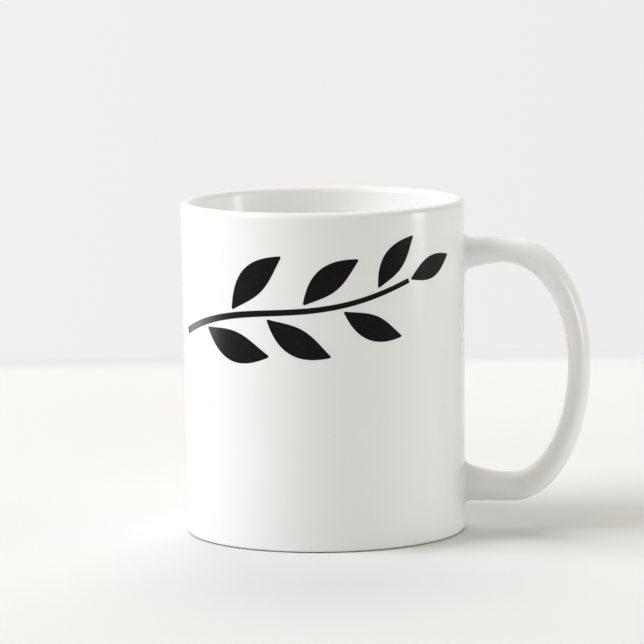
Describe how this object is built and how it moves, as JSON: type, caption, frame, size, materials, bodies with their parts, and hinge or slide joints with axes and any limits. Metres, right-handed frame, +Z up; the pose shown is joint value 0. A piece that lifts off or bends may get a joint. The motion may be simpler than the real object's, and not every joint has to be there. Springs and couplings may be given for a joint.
{
  "type": "coffee mug",
  "caption": "Straight-sided glazed ceramic mug with a rounded lip, a looped side handle, a bare foot ring and a black leaf-sprig print.",
  "frame": {"origin": "middle of the overall length and width, on the surface that the mug stands on", "axes": "+Z up; +X from the cup towards the handle; the print is on the -Y side"},
  "size_m": [0.118, 0.082, 0.0962],
  "materials": {
    "clay": "fired, unglazed, matte",
    "slip": "fired, unglazed, matte",
    "white_glaze": "glossy",
    "black_ink": "fired-on ceramic ink, glossy"
  },
  "bodies": {
    "root": {"cup": "clay", "handle": "clay", "upper_slip_joint": "slip", "lower_slip_joint": "slip", "inner_glaze": "white_glaze", "outer_glaze": "white_glaze", "base_glaze": "white_glaze", "print_stem": "black_ink", "print_leaf_1": "black_ink", "print_leaf_2": "black_ink", "print_leaf_3": "black_ink", "print_leaf_4": "black_ink", "print_leaf_5": "black_ink", "print_leaf_6": "black_ink", "print_leaf_7": "black_ink"}
  },
  "joints": []
}
